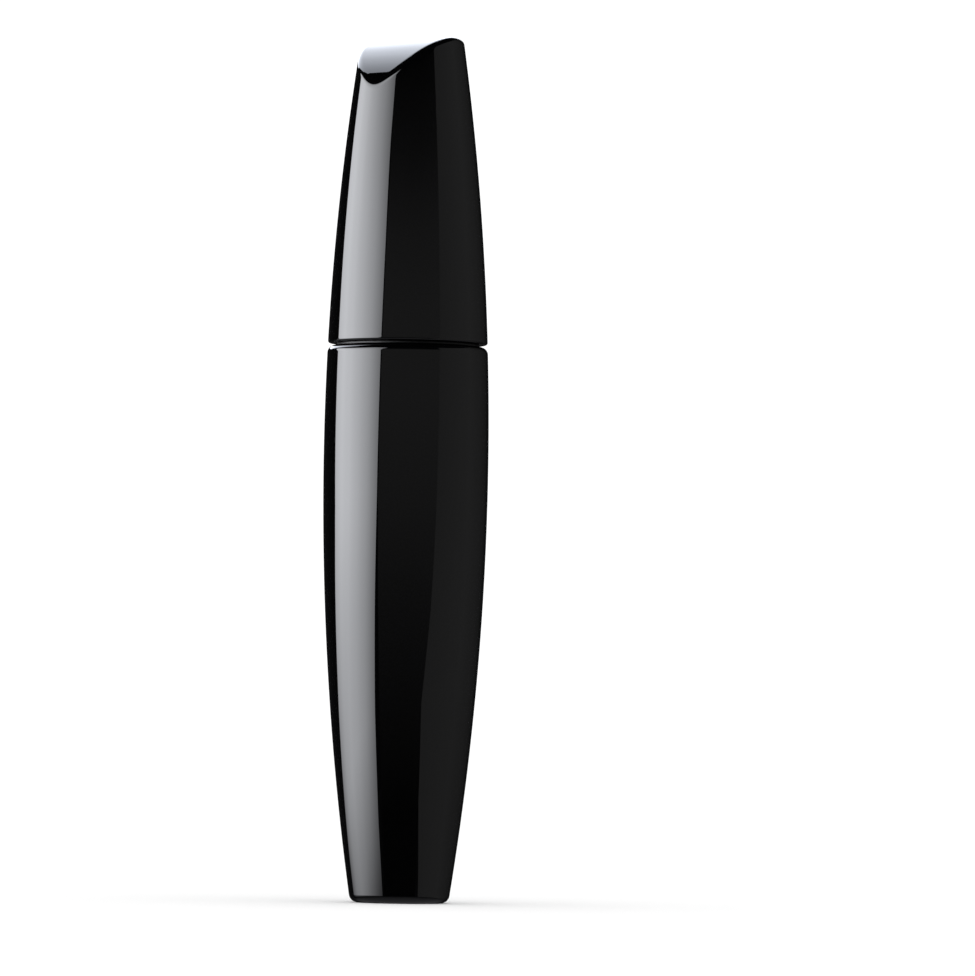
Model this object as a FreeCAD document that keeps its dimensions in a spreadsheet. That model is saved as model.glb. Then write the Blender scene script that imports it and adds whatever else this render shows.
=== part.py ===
import FreeCAD, Part
import math
import os
import Sketcher

# A screw-cap mascara tube. +Z runs up the tube's axis from the centre of its base, the cap's
# slanted cut falls towards -X, and every size below is in millimetres.

doc = FreeCAD.newDocument("mascara_tube")

SIZES = {
    # outside shape: two arcs that meet, upright, at the widest section
    "base_diameter": 13.4,
    "widest_diameter": 22.5,
    "widest_height": 60.0,
    "top_diameter": 14.0,
    "shell_height": 75.85,
    "seam_gap": 0.35,
    "cap_height": 41.8,
    # bottle shell
    "shell_wall": 1.5,
    "shell_floor": 2.4,
    "base_edge": 1.2,
    "rim_edge": 1.0,
    "seat_outer": 8.4,
    "seat_wall": 1.0,
    # blank label in the base
    "label_recess": 0.25,
    "label_diameter": 9.0,
    "label_margin": 0.2,
    "label_thickness": 0.12,
    # vial
    "vial_diameter": 13.8,
    "vial_wall": 0.9,
    "vial_corner": 3.0,
    "vial_clearance": 0.4,
    "flange_fit": 0.3,
    "flange_thickness": 1.1,
    "neck_height": 13.4,
    "neck_diameter": 11.0,
    "neck_wall": 0.9,
    "foot_rise": 0.7,
    # screw thread
    "thread_depth": 0.6,
    "thread_base": 1.3,
    "thread_crest": 0.6,
    "thread_pitch": 2.6,
    "thread_turns": 1.5,
    "thread_start": 3.2,
    "thread_root": 0.2,
    "crest_clearance": 0.15,
    # collar that closes the shell around the neck
    "collar_depth": 1.0,
    "collar_fit": 0.05,
    "seam_recess": 1.2,
    # wiper
    "wiper_flange": 0.9,
    "wiper_wall": 0.8,
    "wiper_sleeve": 7.2,
    "wiper_cone": 3.4,
    "wiper_fit": 0.1,
    # sealing washer
    "washer_thickness": 1.0,
    "washer_fit": 0.7,
    # inner cap
    "inner_cap_wall": 0.8,
    "inner_cap_lift": 0.5,
    "inner_cap_crown": 1.6,
    "socket_depth": 9.5,
    "socket_wall": 1.1,
    "rib_height": 0.6,
    "rib_width": 1.0,
    "rib_count": 12,
    # cap shell
    "cap_clearance": 0.3,
    "cap_crown": 9.0,
    "chamber_diameter": 11.0,
    "cap_foot_edge": 0.3,
    "cut_bend": 10.0,
    "cut_depth": 6.8,
    "cut_stock": 1.0,
    "cut_edge": 0.9,
    # wand
    "stem_diameter": 3.8,
    "stem_tip_round": 1.2,
    "wire_diameter": 1.0,
    "wire_insert": 7.0,
    "wire_poke": 0.5,
    "brush_length": 26.5,
    "brush_base_diameter": 9.3,
    "brush_tip_diameter": 4.3,
    "tip_clearance": 1.2,
    # mascara
    "fill_height": 66.0,
    "fill_skin": 0.02,
    "channel_gap": 0.2,
}


def size_sheet():
    """The spreadsheet of driving sizes, one named cell each."""
    page = doc.addObject("Spreadsheet::Sheet", "size")
    for row, (alias, value) in enumerate(SIZES.items(), start=1):
        page.set(f"A{row}", alias)
        page.set(f"B{row}", str(value))
        page.setAlias(f"B{row}", alias)
    doc.recompute()
    return page


sheet = size_sheet()


def number(expression):
    """The value of an expression on the size sheet."""
    return float(sheet.evalExpression(expression))


# ---------------------------------------------------------------- shared radii and heights

def flank(end_diameter, rise):
    """Radius of the arc from the upright widest section to an end's diameter."""
    sag = f"((size.widest_diameter - {end_diameter}) / 2)"
    return f"((({rise}) ^ 2 + {sag} ^ 2) / (2 * {sag}))"


SEAM = "size.shell_height"
CAP_FOOT = f"({SEAM} + size.seam_gap)"
CAP_TOP = f"({CAP_FOOT} + size.cap_height)"
LOWER_FLANK = flank("size.base_diameter", "size.widest_height")
UPPER_FLANK = flank("size.top_diameter", f"{CAP_TOP} - size.widest_height")


def outside(height, arc):
    """Outside radius at a height, on the lower or the upper arc."""
    return (f"(size.widest_diameter / 2 - {arc}"
            f" + sqrt({arc} ^ 2 - ({height} - size.widest_height) ^ 2))")


def height_on(radius, arc, inset):
    """Height below the widest section at which an arc, moved in by inset, has a radius."""
    return (f"(size.widest_height - sqrt(({arc} - {inset}) ^ 2"
            f" - ({radius} - size.widest_diameter / 2 + {arc}) ^ 2))")


RIM_RADIUS = outside(SEAM, UPPER_FLANK)
MOUTH_RADIUS = f"({RIM_RADIUS} - size.shell_wall)"
SHOULDER = f"({SEAM} - size.collar_depth)"
NECK_TOP = f"({CAP_FOOT} + size.neck_height)"
WIPER_TOP = f"({NECK_TOP} + size.wiper_flange)"
SOCKET_FOOT = f"({WIPER_TOP} + size.washer_thickness)"
STEM_TOP = f"({SOCKET_FOOT} + size.socket_depth)"

VIAL_RADIUS = "(size.vial_diameter / 2)"
VIAL_INSIDE = f"({VIAL_RADIUS} - size.vial_wall)"
VIAL_CORNER_TOP = height_on(f"({VIAL_RADIUS} + size.vial_clearance)", LOWER_FLANK, "size.shell_wall")
VIAL_BOTTOM = f"({VIAL_CORNER_TOP} - size.vial_corner)"
VIAL_FLOOR = f"({VIAL_BOTTOM} + size.vial_wall)"

NECK_RADIUS = "(size.neck_diameter / 2)"
NECK_BORE = f"({NECK_RADIUS} - size.neck_wall)"
NECK_CREST = f"({NECK_RADIUS} + size.thread_depth)"
NECK_FOOT_RADIUS = f"({NECK_CREST} + size.collar_fit)"
NECK_FOOT_TOP = f"({CAP_FOOT} + size.foot_rise)"

CAP_CREST = f"({NECK_CREST} + size.crest_clearance)"
CAP_THREAD_BORE = f"({CAP_CREST} + size.thread_depth)"
SKIRT_RADIUS = f"({CAP_THREAD_BORE} + size.inner_cap_wall)"
CAP_BORE = f"({SKIRT_RADIUS} + size.rib_height)"
SKIRT_FOOT = f"({CAP_FOOT} + size.inner_cap_lift)"
CROWN_TOP = f"({SOCKET_FOOT} + size.inner_cap_crown)"

STEM_RADIUS = "(size.stem_diameter / 2)"
WIRE_TIP = f"({VIAL_FLOOR} + size.tip_clearance)"
BRUSH_FOOT = f"({WIRE_TIP} + size.wire_poke)"
BRUSH_TOP = f"({BRUSH_FOOT} + size.brush_length)"


# ---------------------------------------------------------------- drawing helpers

def new_body(label, height="0"):
    """A body with its own label, placed at a height on the tube's axis."""
    body = doc.addObject("PartDesign::Body", label)
    body.Label = label
    body.setExpression("Placement.Base.z", height)
    return body


def upright_plane(body):
    """The body's own XZ plane."""
    return next(item for item in body.Origin.OriginFeatures if item.Role == "XZ_Plane")


def arc_between(start, end, radius, side):
    """Arc of a circle between two points; side +1 bulges to the right of the way travelled."""
    chord = end - start
    middle = (start + end) / 2
    reach = math.sqrt(max(radius ** 2 - chord.Length ** 2 / 4, 0.0))
    left = FreeCAD.Vector(-chord.y, chord.x, 0).normalize()
    centre = middle + left * reach * side
    first, last = (start, end) if side > 0 else (end, start)
    angles = [math.atan2(p.y - centre.y, p.x - centre.x) for p in (first, last)]
    circle = Part.Circle(centre, FreeCAD.Vector(0, 0, 1), radius)
    return Part.ArcOfCircle(circle, angles[0], angles[1] + 2 * math.pi * (angles[1] < angles[0]))


def hold(sketch, axis, edge, point, expression):
    """Hold one coordinate of an edge's end at an expression."""
    value = number(expression)
    if expression == "0":
        on_axis = -2 if axis == "DistanceX" else -1
        sketch.addConstraint(Sketcher.Constraint("PointOnObject", edge, point, on_axis))
        return
    if value >= 0:
        rule = Sketcher.Constraint(axis, -1, 1, edge, point, value)
    else:
        rule = Sketcher.Constraint(axis, edge, point, -1, 1, -value)
        expression = f"-({expression})"
    index = sketch.addConstraint(rule)
    sketch.setExpression(f"Constraints[{index}]", expression)


def outline(body, name, corners, arcs=None):
    """Closed sketch on the body's own XZ plane.

    corners are (across, up) pairs of expressions. arcs gives, for a corner's number, the radius
    and the side of the arc that leaves that corner; the other corners are joined by lines.
    """
    arcs = arcs or {}
    sketch = body.newObject("Sketcher::SketchObject", name)
    sketch.AttachmentSupport = [(upright_plane(body), "")]
    sketch.MapMode = "FlatFace"
    points = [FreeCAD.Vector(number(x), number(y), 0) for x, y in corners]
    count = len(points)
    ends = []
    for i, start in enumerate(points):
        end = points[(i + 1) % count]
        if i in arcs:
            radius, side = arcs[i]
            sketch.addGeometry(arc_between(start, end, number(radius), side))
            ends.append((1, 2) if side > 0 else (2, 1))
        else:
            sketch.addGeometry(Part.LineSegment(start, end))
            ends.append((1, 2))
    for i in range(count):
        after = (i + 1) % count
        sketch.addConstraint(
            Sketcher.Constraint("Coincident", i, ends[i][1], after, ends[after][0]))
    for i, (across, up) in enumerate(corners):
        hold(sketch, "DistanceX", i, ends[i][0], across)
        hold(sketch, "DistanceY", i, ends[i][0], up)
    for i, (radius, _) in arcs.items():
        index = sketch.addConstraint(Sketcher.Constraint("Radius", i, number(radius)))
        sketch.setExpression(f"Constraints[{index}]", radius)
    return sketch


def turned(body, name, corners, arcs=None):
    """Revolve an outline about the tube's axis."""
    sketch = outline(body, f"{name}_outline", corners, arcs)
    solid = body.newObject("PartDesign::Revolution", name)
    solid.Profile = sketch
    solid.ReferenceAxis = (sketch, ["V_Axis"])
    solid.Angle = 360
    return solid


def threaded(body, name, wall, crest, height):
    """Screw ridge wound about the axis, from just inside a wall's radius out to its crest."""
    half_base = "size.thread_base / 2"
    half_crest = "size.thread_crest / 2"
    ridge = outline(body, f"{name}_section", [
        (wall, f"{height} - {half_base}"),
        (crest, f"{height} - {half_crest}"),
        (crest, f"{height} + {half_crest}"),
        (wall, f"{height} + {half_base}"),
    ])
    helix = body.newObject("PartDesign::AdditiveHelix", name)
    helix.Profile = ridge
    helix.ReferenceAxis = (ridge, ["V_Axis"])
    helix.Mode = 1
    helix.setExpression("Pitch", "size.thread_pitch")
    helix.setExpression("Turns", "size.thread_turns")
    return helix


def rounded(body, name, radius, wanted):
    """Fillet those edges of the body's last feature that the test picks."""
    doc.recompute()
    last = body.Tip
    picked = [f"Edge{i}" for i, edge in enumerate(last.Shape.Edges, start=1) if wanted(edge)]
    fillet = body.newObject("PartDesign::Fillet", name)
    fillet.Base = (last, picked)
    fillet.setExpression("Radius", radius)
    return fillet


def ring_at(radius, height):
    """Test for a full-circle edge of a radius at a height."""
    def test(edge):
        box = edge.BoundBox
        flat = abs(box.ZMin - number(height)) < 1e-4 and abs(box.ZMax - number(height)) < 1e-4
        return flat and abs(box.XMax - number(radius)) < 1e-3
    return test


# ---------------------------------------------------------------- bottle

def bottle_shell():
    """Outer shell: a spindle-shaped cup with a pillar ring that carries the vial's foot."""
    body = new_body("bottle_shell")
    seat_outside = "size.seat_outer / 2"
    seat_inside = "(size.seat_outer / 2 - size.seat_wall)"
    inner_arc = f"({LOWER_FLANK} - size.shell_wall)"
    floor_radius = (f"(size.widest_diameter / 2 - {LOWER_FLANK}"
                    f" + sqrt({inner_arc} ^ 2 - (size.shell_floor - size.widest_height) ^ 2))")
    straight_foot = height_on(MOUTH_RADIUS, LOWER_FLANK, "size.shell_wall")
    turned(body, "cup", [
        ("0", "size.label_recess"),
        ("size.label_diameter / 2", "size.label_recess"),
        ("size.label_diameter / 2", "0"),
        ("size.base_diameter / 2", "0"),
        ("size.widest_diameter / 2", "size.widest_height"),
        (RIM_RADIUS, SEAM),
        (MOUTH_RADIUS, SEAM),
        (MOUTH_RADIUS, straight_foot),
        (floor_radius, "size.shell_floor"),
        (seat_outside, "size.shell_floor"),
        (seat_outside, VIAL_BOTTOM),
        (seat_inside, VIAL_BOTTOM),
        (seat_inside, "size.shell_floor"),
        ("0", "size.shell_floor"),
    ], {3: (LOWER_FLANK, 1), 4: (UPPER_FLANK, 1), 7: (inner_arc, -1)})
    rounded(body, "base_round", "size.base_edge", ring_at("size.base_diameter / 2", "0"))
    rounded(body, "rim_round", "size.rim_edge", ring_at(RIM_RADIUS, SEAM))
    return body


def base_label():
    """Blank disc stuck in the base's recess."""
    body = new_body("base_label", "size.label_recess - size.label_thickness")
    disc_radius = "size.label_diameter / 2 - size.label_margin"
    turned(body, "disc", [
        ("0", "0"),
        (disc_radius, "0"),
        (disc_radius, "size.label_thickness"),
        ("0", "size.label_thickness"),
    ])
    return body


def inner_vial():
    """Vial that holds the mascara, with a flange under the collar and a threaded neck."""
    body = new_body("inner_vial")
    flange_radius = f"({MOUTH_RADIUS} - size.flange_fit)"
    flange_foot = f"({SHOULDER} - size.flange_thickness)"
    corner_inside = "(size.vial_corner - size.vial_wall)"
    funnel_foot = f"({flange_foot} - ({VIAL_INSIDE} - {NECK_BORE}))"
    turned(body, "vial_wall", [
        ("0", VIAL_BOTTOM),
        (f"{VIAL_RADIUS} - size.vial_corner", VIAL_BOTTOM),
        (VIAL_RADIUS, VIAL_CORNER_TOP),
        (VIAL_RADIUS, flange_foot),
        (flange_radius, flange_foot),
        (flange_radius, SHOULDER),
        (NECK_FOOT_RADIUS, SHOULDER),
        (NECK_FOOT_RADIUS, NECK_FOOT_TOP),
        (NECK_RADIUS, NECK_FOOT_TOP),
        (NECK_RADIUS, NECK_TOP),
        (NECK_BORE, NECK_TOP),
        (NECK_BORE, flange_foot),
        (VIAL_INSIDE, funnel_foot),
        (VIAL_INSIDE, VIAL_CORNER_TOP),
        (f"{VIAL_INSIDE} - {corner_inside}", VIAL_FLOOR),
        ("0", VIAL_FLOOR),
    ], {1: ("size.vial_corner", 1), 13: (corner_inside, -1)})
    threaded(body, "neck_thread", f"{NECK_RADIUS} - size.thread_root", NECK_CREST,
             f"({CAP_FOOT} + size.thread_start)")
    return body


def shoulder_collar():
    """Collar that closes the shell's mouth; its rim is the dark step between bottle and cap."""
    body = new_body("shoulder_collar")
    hole = f"({NECK_FOOT_RADIUS} + size.collar_fit)"
    plug = f"({MOUTH_RADIUS} - size.collar_fit)"
    step = f"({RIM_RADIUS} - size.seam_recess)"
    turned(body, "ring", [
        (hole, SHOULDER),
        (plug, SHOULDER),
        (plug, SEAM),
        (step, SEAM),
        (step, CAP_FOOT),
        (hole, CAP_FOOT),
    ])
    return body


def wiper():
    """Soft sleeve pressed in the neck; its cone ends in the hole that wipes the stem."""
    body = new_body("wiper", NECK_TOP)
    inside = f"({NECK_BORE} - size.wiper_wall)"
    hole = f"({STEM_RADIUS} + size.wiper_fit)"
    sleeve_foot = "-size.wiper_sleeve"
    cone_foot = "-(size.wiper_sleeve + size.wiper_cone)"
    turned(body, "sleeve", [
        (hole, cone_foot),
        (f"{hole} + size.wiper_wall", cone_foot),
        (NECK_BORE, sleeve_foot),
        (NECK_BORE, "0"),
        (NECK_RADIUS, "0"),
        (NECK_RADIUS, "size.wiper_flange"),
        (inside, "size.wiper_flange"),
        (inside, sleeve_foot),
    ])
    return body


def mascara_fill():
    """The mascara in the vial, with the space that the wand takes up in it."""
    body = new_body("mascara_fill")
    skin_radius = f"({VIAL_INSIDE} - size.fill_skin)"
    corner = "(size.vial_corner - size.vial_wall)"
    stem_channel = f"({STEM_RADIUS} + 2 * size.channel_gap)"
    turned(body, "fill", [
        ("0", f"{VIAL_FLOOR} + size.fill_skin"),
        (f"{skin_radius} - {corner}", f"{VIAL_FLOOR} + size.fill_skin"),
        (skin_radius, f"{VIAL_CORNER_TOP} + size.fill_skin"),
        (skin_radius, "size.fill_height"),
        (stem_channel, "size.fill_height"),
        (stem_channel, f"{BRUSH_TOP} + size.channel_gap"),
        ("size.brush_base_diameter / 2 + size.channel_gap", f"{BRUSH_TOP} + size.channel_gap"),
        ("size.brush_tip_diameter / 2 + size.channel_gap", f"{WIRE_TIP} - size.channel_gap"),
        ("0", f"{WIRE_TIP} - size.channel_gap"),
    ], {1: (corner, 1)})
    return body


# ---------------------------------------------------------------- cap and wand

def sealing_washer():
    """Soft washer between the wiper's flange and the inner cap's ceiling."""
    body = new_body("sealing_washer", WIPER_TOP)
    hole = f"({STEM_RADIUS} + size.washer_fit)"
    turned(body, "washer", [
        (hole, "0"),
        (NECK_RADIUS, "0"),
        (NECK_RADIUS, "size.washer_thickness"),
        (hole, "size.washer_thickness"),
    ])
    return body


def cap_shell():
    """Outer cap: it carries on the bottle's outline and ends in a slanted, rolled-over cut."""
    body = new_body("cap_shell")
    blank_top = f"({CAP_TOP} + size.cut_stock)"
    ceiling = f"({CAP_TOP} - size.cap_crown)"
    bore_top = f"({CROWN_TOP} + size.cap_clearance)"
    turned(body, "cup", [
        (CAP_BORE, CAP_FOOT),
        (outside(CAP_FOOT, UPPER_FLANK), CAP_FOOT),
        (outside(blank_top, UPPER_FLANK), blank_top),
        ("0", blank_top),
        ("0", ceiling),
        ("size.chamber_diameter / 2", ceiling),
        (CAP_BORE, bore_top),
    ], {1: (UPPER_FLANK, 1)})
    low = f"({CAP_TOP} - size.cut_depth)"
    bend_centre = (f"(sqrt(2 * size.cut_bend * size.cut_depth - size.cut_depth ^ 2)"
                   f" - {outside(low, UPPER_FLANK)})")
    full_depth = "(size.cut_depth + size.cut_stock)"
    cut_foot = f"({CAP_TOP} - {full_depth})"
    bend_foot = f"{bend_centre} - sqrt(2 * size.cut_bend * {full_depth} - {full_depth} ^ 2)"
    beyond = "size.widest_diameter"
    above = f"({blank_top} + size.cut_stock)"
    cut = outline(body, "slant_outline", [
        (beyond, CAP_TOP),
        (beyond, above),
        (f"-{beyond}", above),
        (f"-{beyond}", cut_foot),
        (bend_foot, cut_foot),
        (bend_centre, CAP_TOP),
    ], {4: ("size.cut_bend", -1)})
    pocket = body.newObject("PartDesign::Pocket", "slant")
    pocket.Profile = cut
    pocket.Type = "ThroughAll"
    pocket.Midplane = True

    def on_cut_rim(edge):
        """Edges where the cut meets the side wall."""
        middle = edge.valueAt((edge.FirstParameter + edge.LastParameter) / 2)
        beside = math.hypot(middle.x, middle.y) > number("size.top_diameter / 4")
        return beside and middle.z > number(cut_foot) and edge.BoundBox.YLength > 0.01

    rounded(body, "cut_round", "size.cut_edge", on_cut_rim)
    rounded(body, "foot_round", "size.cap_foot_edge",
            ring_at(outside(CAP_FOOT, UPPER_FLANK), CAP_FOOT))
    return body


def inner_cap():
    """Threaded inner cap with the stem's socket, held in the outer cap by its ribs."""
    body = new_body("inner_cap")
    socket_radius = f"({STEM_RADIUS} + size.socket_wall)"
    turned(body, "skirt", [
        (CAP_THREAD_BORE, SKIRT_FOOT),
        (SKIRT_RADIUS, SKIRT_FOOT),
        (SKIRT_RADIUS, CROWN_TOP),
        (socket_radius, CROWN_TOP),
        (socket_radius, f"{STEM_TOP} + size.socket_wall"),
        ("0", f"{STEM_TOP} + size.socket_wall"),
        ("0", STEM_TOP),
        (STEM_RADIUS, STEM_TOP),
        (STEM_RADIUS, SOCKET_FOOT),
        (CAP_THREAD_BORE, SOCKET_FOOT),
    ])
    threaded(body, "cap_thread", f"{CAP_THREAD_BORE} + size.thread_root", CAP_CREST,
             f"({CAP_FOOT} + size.thread_start + size.thread_pitch / 2)")
    rib_foot = f"({SKIRT_FOOT} + size.rib_width)"
    rib_root = f"({SKIRT_RADIUS} - size.inner_cap_wall / 2)"
    rib_face = f"sqrt({CAP_BORE} ^ 2 - (size.rib_width / 2) ^ 2)"
    rib = outline(body, "rib_side", [
        (rib_root, rib_foot),
        (rib_face, rib_foot),
        (rib_face, CROWN_TOP),
        (rib_root, CROWN_TOP),
    ])
    pad = body.newObject("PartDesign::Pad", "rib")
    pad.Profile = rib
    pad.Midplane = True
    pad.setExpression("Length", "size.rib_width")
    doc.recompute()
    ribs = body.newObject("PartDesign::PolarPattern", "ribs")
    ribs.Originals = [pad]
    ribs.Axis = (rib, ["V_Axis"])
    ribs.Angle = 360
    ribs.setExpression("Occurrences", "size.rib_count")
    body.Tip = ribs
    return body


def wand_stem():
    """Stem that joins the inner cap to the brush, bored for the brush's wire."""
    body = new_body("wand_stem", BRUSH_TOP)
    top = f"({STEM_TOP} - {BRUSH_TOP})"
    turned(body, "rod", [
        ("size.wire_diameter / 2", "0"),
        (f"{STEM_RADIUS} - size.stem_tip_round", "0"),
        (STEM_RADIUS, "size.stem_tip_round"),
        (STEM_RADIUS, top),
        ("0", top),
        ("0", "size.wire_insert"),
        ("size.wire_diameter / 2", "size.wire_insert"),
    ], {1: ("size.stem_tip_round", 1)})
    return body


def brush_wire():
    """Core of the brush: the twisted pair of wires as one round rod."""
    body = new_body("brush_wire", WIRE_TIP)
    length = "(size.wire_poke + size.brush_length + size.wire_insert)"
    turned(body, "core", [
        ("0", "0"),
        ("size.wire_diameter / 2", "0"),
        ("size.wire_diameter / 2", length),
        ("0", length),
    ])
    return body


def bristles():
    """Envelope of the bristles: a cone that narrows towards the wand's tip."""
    body = new_body("bristles", BRUSH_FOOT)
    turned(body, "cone", [
        ("size.wire_diameter / 2", "0"),
        ("size.brush_tip_diameter / 2", "0"),
        ("size.brush_base_diameter / 2", "size.brush_length"),
        ("size.wire_diameter / 2", "size.brush_length"),
    ])
    return body


# ---------------------------------------------------------------- build, check and write

PIECES = [
    bottle_shell, base_label, inner_vial, shoulder_collar, wiper, mascara_fill,
    sealing_washer, cap_shell, inner_cap, wand_stem, brush_wire, bristles,
]


def check(bodies):
    """Stop if any feature failed or any sub-part isn't one valid solid."""
    for item in doc.Objects:
        if {"Invalid", "Error"} & set(item.State):
            raise RuntimeError(f"{item.Label} did not build: {item.State}")
    for body in bodies:
        shape = body.Shape
        if shape.isNull() or not shape.isValid() or len(shape.Solids) != 1:
            raise RuntimeError(f"{body.Label} is not one valid solid")


def main():
    """Build every sub-part, check them and write one STEP file each."""
    bodies = [piece() for piece in PIECES]
    doc.recompute()
    check(bodies)
    os.makedirs("parts", exist_ok=True)
    for body in bodies:
        body.Shape.exportStep(f"parts/{body.Label}.step")
        print(f"{body.Label}: {body.Shape.Volume:.1f} mm3")


main()
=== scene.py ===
"""Looks of a screw-cap mascara tube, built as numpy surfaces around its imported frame."""

import math

import bpy
import numpy as np
from mathutils import Matrix, Vector


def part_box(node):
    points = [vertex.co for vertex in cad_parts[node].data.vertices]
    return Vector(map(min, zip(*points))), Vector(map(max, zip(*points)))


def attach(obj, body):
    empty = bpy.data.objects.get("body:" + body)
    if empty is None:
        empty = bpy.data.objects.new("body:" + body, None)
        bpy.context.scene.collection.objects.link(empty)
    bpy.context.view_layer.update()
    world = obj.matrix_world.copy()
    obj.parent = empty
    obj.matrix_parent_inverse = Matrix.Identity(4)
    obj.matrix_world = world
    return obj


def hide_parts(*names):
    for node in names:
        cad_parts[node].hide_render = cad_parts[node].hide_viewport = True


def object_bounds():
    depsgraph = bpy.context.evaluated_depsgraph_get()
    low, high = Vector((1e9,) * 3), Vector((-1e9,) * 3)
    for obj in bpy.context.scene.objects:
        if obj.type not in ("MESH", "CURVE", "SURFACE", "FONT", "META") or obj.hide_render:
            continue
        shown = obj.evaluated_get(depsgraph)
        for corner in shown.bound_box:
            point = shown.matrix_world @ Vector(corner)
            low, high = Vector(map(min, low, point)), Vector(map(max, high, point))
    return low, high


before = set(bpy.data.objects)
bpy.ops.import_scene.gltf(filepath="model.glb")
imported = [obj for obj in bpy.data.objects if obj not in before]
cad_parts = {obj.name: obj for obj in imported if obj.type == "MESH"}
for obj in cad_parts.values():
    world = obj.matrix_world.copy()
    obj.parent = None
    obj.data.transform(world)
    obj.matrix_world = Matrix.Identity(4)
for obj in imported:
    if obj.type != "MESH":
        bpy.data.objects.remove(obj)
CAD_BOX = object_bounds()

bl_info = {
    "name": "Mascara Tube",
    "version": (1, 0, 0),
    "blender": (4, 5, 0),
    "location": "View3D > Sidebar > Mascara",
    "description": "Builds a screw-cap mascara tube, its brush wand and a small studio",
    "category": "Object",
}

MM = 0.001
FULL_TURN = 2 * math.pi
ON_WALL = 0.02 * MM         # a point this near a wall's radius is on the wall
CORNER_SHARE = 0.98         # part of a side that the roundings at its ends may take


# ---- settings

def length(name, text, default):
    """A length property; its default is given in millimetres."""
    return bpy.props.FloatProperty(
        name=name, description=text, default=default * MM, min=0.0, precision=5, unit="LENGTH")


def count(name, text, default):
    """A whole-number property."""
    return bpy.props.IntProperty(name=name, description=text, default=default, min=3)


def angle(name, text, default):
    """An angle property; its default is given in degrees."""
    return bpy.props.FloatProperty(
        name=name, description=text, default=math.radians(default), subtype="ANGLE")


def factor(name, text, default):
    """A plain number property."""
    return bpy.props.FloatProperty(name=name, description=text, default=default)


def colour(name, text, default):
    """A colour property, in linear red, green and blue."""
    return bpy.props.FloatVectorProperty(
        name=name, description=text, default=default, size=3, min=0.0, max=1.0, subtype="COLOR")


class OutlineSizes(bpy.types.PropertyGroup):
    """The spindle outline and the slanted cut of the cap."""

    base_diameter: length("Base diameter", "Across the base, edges left sharp", 13.4)
    top_diameter: length("Top diameter", "Across the cap's top, edges left sharp", 14.0)
    widest_height: length("Widest height", "Height of the widest section", 60.0)
    shell_wall: length("Shell wall", "Wall of the bottle shell", 1.5)
    shell_floor: length("Shell floor", "Height of the bottle shell's floor", 2.4)
    base_edge: length("Base edge", "Rounding of the base's edge", 1.2)
    rim_edge: length("Rim edge", "Rounding of the bottle's rim", 1.0)
    seat_radius: length("Seat radius", "Outside radius of the pillar ring under the vial", 4.2)
    seat_wall: length("Seat wall", "Wall of the pillar ring", 1.0)
    label_recess: length("Label recess", "Depth of the recess in the base", 0.25)
    label_radius: length("Label recess radius", "Radius of the recess in the base", 4.5)
    cap_bore: length("Cap bore", "Radius of the cap's bore around the inner cap", 8.25)
    bore_height: length("Cap bore height", "From the cap's foot to the top of its bore", 17.2)
    chamber_radius: length("Chamber radius", "Radius of the hollow at the cap's ceiling", 5.5)
    cap_crown: length("Cap crown", "From the cap's ceiling up to its top", 9.0)
    foot_edge: length("Cap foot edge", "Rounding of the cap's lower edge", 0.3)
    cut_bend: length("Cut bend", "Radius that the slanted cut rolls over with", 10.0)
    cut_depth: length("Cut depth", "From the cap's top down to the cut's low side", 6.8)
    cut_edge: length("Cut edge", "How far the rounding of the cut's rim reaches", 0.78)
    facets: count("Shell facets", "Faces round each shell", 288)


class NeckSizes(bpy.types.PropertyGroup):
    """The vial, its screw neck, and what seals it."""

    vial_wall: length("Vial wall", "Wall of the vial", 0.9)
    vial_radius: length("Vial radius", "Outside radius of the vial", 6.9)
    vial_corner: length("Vial corner", "Rounding of the vial's foot", 3.0)
    flange_thickness: length("Flange thickness", "Thickness of the vial's flange", 1.1)
    neck_radius: length("Neck radius", "Outside radius of the neck, under the thread", 5.5)
    neck_bore: length("Neck bore", "Inside radius of the neck", 4.6)
    foot_radius: length("Neck foot radius", "Radius of the neck's foot in the collar", 6.15)
    foot_rise: length("Neck foot rise", "How far the neck's foot stands above the collar", 0.7)
    thread_depth: length("Thread depth", "How far the thread stands out", 0.6)
    thread_base: length("Thread base", "Width of the thread at its root", 1.3)
    thread_crest: length("Thread crest", "Width of the thread at its crest", 0.6)
    thread_pitch: length("Thread pitch", "Rise of the thread in one turn", 2.6)
    thread_start: length("Thread start", "Thread's start above the cap's foot", 3.2)
    thread_turns: factor("Thread turns", "Turns of the thread", 1.5)
    thread_fade: factor("Thread fade", "Part of a turn in which the thread runs out", 0.09)
    thread_bore: length("Cap thread bore", "Radius of the inner cap's bore", 6.85)
    skirt_radius: length("Skirt radius", "Outside radius of the inner cap's skirt", 7.65)
    wiper_wall: length("Wiper wall", "Wall of the wiper", 0.8)
    wiper_cone: length("Wiper cone", "Height of the wiper's cone", 3.4)
    wiper_hole: length("Wiper hole", "Radius of the wiper's hole", 2.0)
    wiper_flange: length("Wiper flange", "Thickness of the wiper's flange", 0.9)
    washer_hole: length("Washer hole", "Radius of the washer's hole", 2.6)
    crown_thickness: length("Crown thickness", "Thickness of the inner cap over the washer", 1.6)
    rib_width: length("Rib width", "Width of the inner cap's ribs", 1.0)
    rib_count: count("Rib count", "Ribs round the inner cap", 12)
    socket_wall: length("Socket wall", "Wall of the stem's socket", 1.1)


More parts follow.
